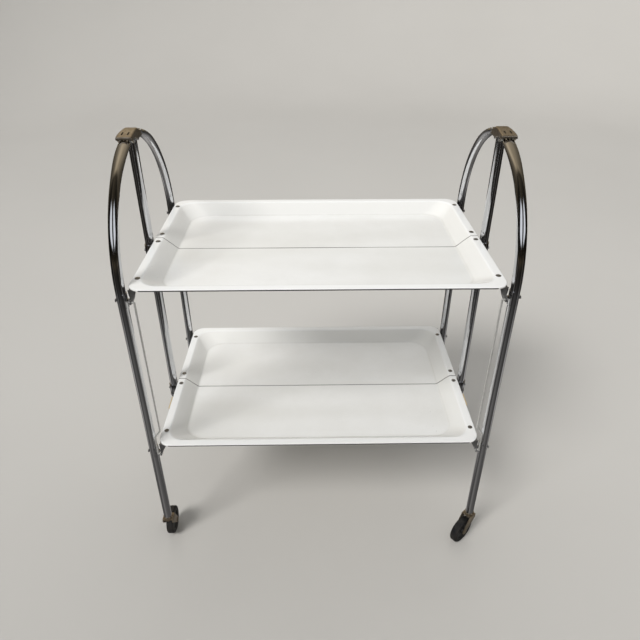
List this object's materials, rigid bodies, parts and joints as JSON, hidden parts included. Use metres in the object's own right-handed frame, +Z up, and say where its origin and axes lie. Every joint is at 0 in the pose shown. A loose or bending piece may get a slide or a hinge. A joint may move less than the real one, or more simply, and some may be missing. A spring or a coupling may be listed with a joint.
{
  "type": "folding serving trolley",
  "caption": "Folding two-tier serving trolley: chromed tube arches with centre posts carry two white enamelled trays, each split along the middle, on swivel casters.",
  "frame": {"origin": "on the floor, under the middle of the trolley", "axes": "+Z up, X along the trays, -Y towards the user in front"},
  "size_m": [0.6504, 0.4512, 0.798],
  "materials": {
    "chrome_tube": "polished chrome plating, lightly worn",
    "chrome_fittings": "chrome-plated pressed steel, lightly worn",
    "plated_steel": "dull zinc-plated steel",
    "rivets": "dark, dulled rivet heads",
    "white_enamel": "glossy white stove enamel",
    "white_nylon": "satin nylon",
    "black_plastic": "satin black",
    "beige_plastic": "satin, aged",
    "caster_steel": "zinc-plated pressing, dulled",
    "black_rubber": "matte rubber"
  },
  "bodies": {
    "frame": {"post_left": "chrome_tube", "post_right": "chrome_tube", "crown_left": "chrome_fittings", "crown_right": "chrome_fittings", "crown_pins": "plated_steel", "crown_spacers": "white_nylon", "post_rivets": "plated_steel", "post_stops": "plated_steel", "post_end_caps": "black_plastic"},
    "front_legs": {"front_leg_left": "chrome_tube", "front_leg_right": "chrome_tube", "front_left_brackets": "chrome_fittings", "front_right_brackets": "chrome_fittings", "front_bracket_rivets": "plated_steel", "front_caster_sockets": "caster_steel"},
    "back_legs": {"back_leg_left": "chrome_tube", "back_leg_right": "chrome_tube", "back_left_brackets": "chrome_fittings", "back_right_brackets": "chrome_fittings", "back_bracket_rivets": "plated_steel", "back_caster_sockets": "caster_steel"},
    "upper_runners": {"upper_runner_left": "chrome_fittings", "upper_runner_right": "chrome_fittings", "upper_seam_pins": "plated_steel", "upper_seam_washers": "white_nylon"},
    "lower_runners": {"lower_runner_left": "chrome_fittings", "lower_runner_right": "chrome_fittings", "lower_seam_pins": "plated_steel", "lower_seam_washers": "white_nylon"},
    "upper_front_half": {"upper_front_tray": "white_enamel", "upper_front_arms": "plated_steel", "upper_front_rivets": "rivets"},
    "upper_back_half": {"upper_back_tray": "white_enamel", "upper_back_arms": "plated_steel", "upper_back_rivets": "rivets"},
    "lower_front_half": {"lower_front_tray": "white_enamel", "lower_front_arms": "plated_steel", "lower_front_rivets": "rivets", "lower_edge_tabs": "beige_plastic"},
    "lower_back_half": {"lower_back_tray": "white_enamel", "lower_back_arms": "plated_steel", "lower_back_rivets": "rivets"},
    "rods": {"sync_rods": "chrome_fittings"},
    "caster_front_left": {"fork_front_left": "caster_steel", "axle_front_left": "caster_steel"},
    "wheel_front_left": {"hub_front_left": "black_plastic", "tyre_front_left": "black_rubber"},
    "caster_front_right": {"fork_front_right": "caster_steel", "axle_front_right": "caster_steel"},
    "wheel_front_right": {"hub_front_right": "black_plastic", "tyre_front_right": "black_rubber"},
    "caster_back_left": {"fork_back_left": "caster_steel", "axle_back_left": "caster_steel"},
    "wheel_back_left": {"hub_back_left": "black_plastic", "tyre_back_left": "black_rubber"},
    "caster_back_right": {"fork_back_right": "caster_steel", "axle_back_right": "caster_steel"},
    "wheel_back_right": {"hub_back_right": "black_plastic", "tyre_back_right": "black_rubber"}
  },
  "joints": [
    {"name": "front_legs_fold", "type": "hinge", "parent": "frame", "child": "front_legs", "pos_m": [0, -0.028, 0.78336], "axis": [1, 0, 0], "range_deg": [0, 10]},
    {"name": "back_legs_fold", "type": "hinge", "parent": "frame", "child": "back_legs", "pos_m": [0, 0.028, 0.78336], "axis": [-1, 0, 0], "range_deg": [0, 10]},
    {"name": "upper_runners_slide", "type": "slide", "parent": "frame", "child": "upper_runners", "axis": [0, 0, 1], "range_m": [0, 0.08989]},
    {"name": "lower_runners_slide", "type": "slide", "parent": "frame", "child": "lower_runners", "axis": [0, 0, 1], "range_m": [0, 0.14468]},
    {"name": "upper_front_fold", "type": "hinge", "parent": "upper_runners", "child": "upper_front_half", "pos_m": [0, 0, 0.575], "axis": [1, 0, 0], "range_deg": [0, 37.19]},
    {"name": "upper_back_fold", "type": "hinge", "parent": "upper_runners", "child": "upper_back_half", "pos_m": [0, 0, 0.575], "axis": [-1, 0, 0], "range_deg": [0, 37.19]},
    {"name": "lower_front_fold", "type": "hinge", "parent": "lower_runners", "child": "lower_front_half", "pos_m": [0, 0, 0.249], "axis": [1, 0, 0], "range_deg": [0, 60.09]},
    {"name": "lower_back_fold", "type": "hinge", "parent": "lower_runners", "child": "lower_back_half", "pos_m": [0, 0, 0.249], "axis": [-1, 0, 0], "range_deg": [0, 60.09]},
    {"name": "rods_swing", "type": "hinge", "parent": "lower_front_half", "child": "rods", "pos_m": [0, -0.198, 0.249], "axis": [-1, 0, 0], "range_deg": [0, 50.09]},
    {"name": "swivel_front_left", "type": "hinge", "parent": "front_legs", "child": "caster_front_left", "pos_m": [-0.311, -0.19, 0.06], "axis": [0, 0, 1], "continuous": true},
    {"name": "roll_front_left", "type": "hinge", "parent": "caster_front_left", "child": "wheel_front_left", "pos_m": [-0.311, -0.169, 0.028], "axis": [-1, 0, 0], "continuous": true},
    {"name": "swivel_front_right", "type": "hinge", "parent": "front_legs", "child": "caster_front_right", "pos_m": [0.311, -0.19, 0.06], "axis": [0, 0, 1], "continuous": true},
    {"name": "roll_front_right", "type": "hinge", "parent": "caster_front_right", "child": "wheel_front_right", "pos_m": [0.29491, -0.2035, 0.028], "axis": [0.6428, -0.766, 0], "continuous": true},
    {"name": "swivel_back_left", "type": "hinge", "parent": "back_legs", "child": "caster_back_left", "pos_m": [-0.311, 0.19, 0.06], "axis": [0, 0, 1], "continuous": true},
    {"name": "roll_back_left", "type": "hinge", "parent": "caster_back_left", "child": "wheel_back_left", "pos_m": [-0.311, 0.169, 0.028], "axis": [1, 0, 0], "continuous": true},
    {"name": "swivel_back_right", "type": "hinge", "parent": "back_legs", "child": "caster_back_right", "pos_m": [0.311, 0.19, 0.06], "axis": [0, 0, 1], "continuous": true},
    {"name": "roll_back_right", "type": "hinge", "parent": "caster_back_right", "child": "wheel_back_right", "pos_m": [0.29491, 0.2035, 0.028], "axis": [-0.6428, -0.766, 0], "continuous": true}
  ],
  "couplings": [
    {"joint": "back_legs_fold", "follows": "front_legs_fold", "ratio": 1},
    {"joint": "upper_runners_slide", "follows": "front_legs_fold", "m_per_rad": 0.515},
    {"joint": "lower_runners_slide", "follows": "front_legs_fold", "m_per_rad": 0.82893},
    {"joint": "upper_front_fold", "follows": "front_legs_fold", "ratio": 3.7191},
    {"joint": "upper_back_fold", "follows": "front_legs_fold", "ratio": 3.7191},
    {"joint": "lower_front_fold", "follows": "front_legs_fold", "ratio": 6.0087},
    {"joint": "lower_back_fold", "follows": "front_legs_fold", "ratio": 6.0087},
    {"joint": "rods_swing", "follows": "front_legs_fold", "ratio": 5.0087}
  ]
}
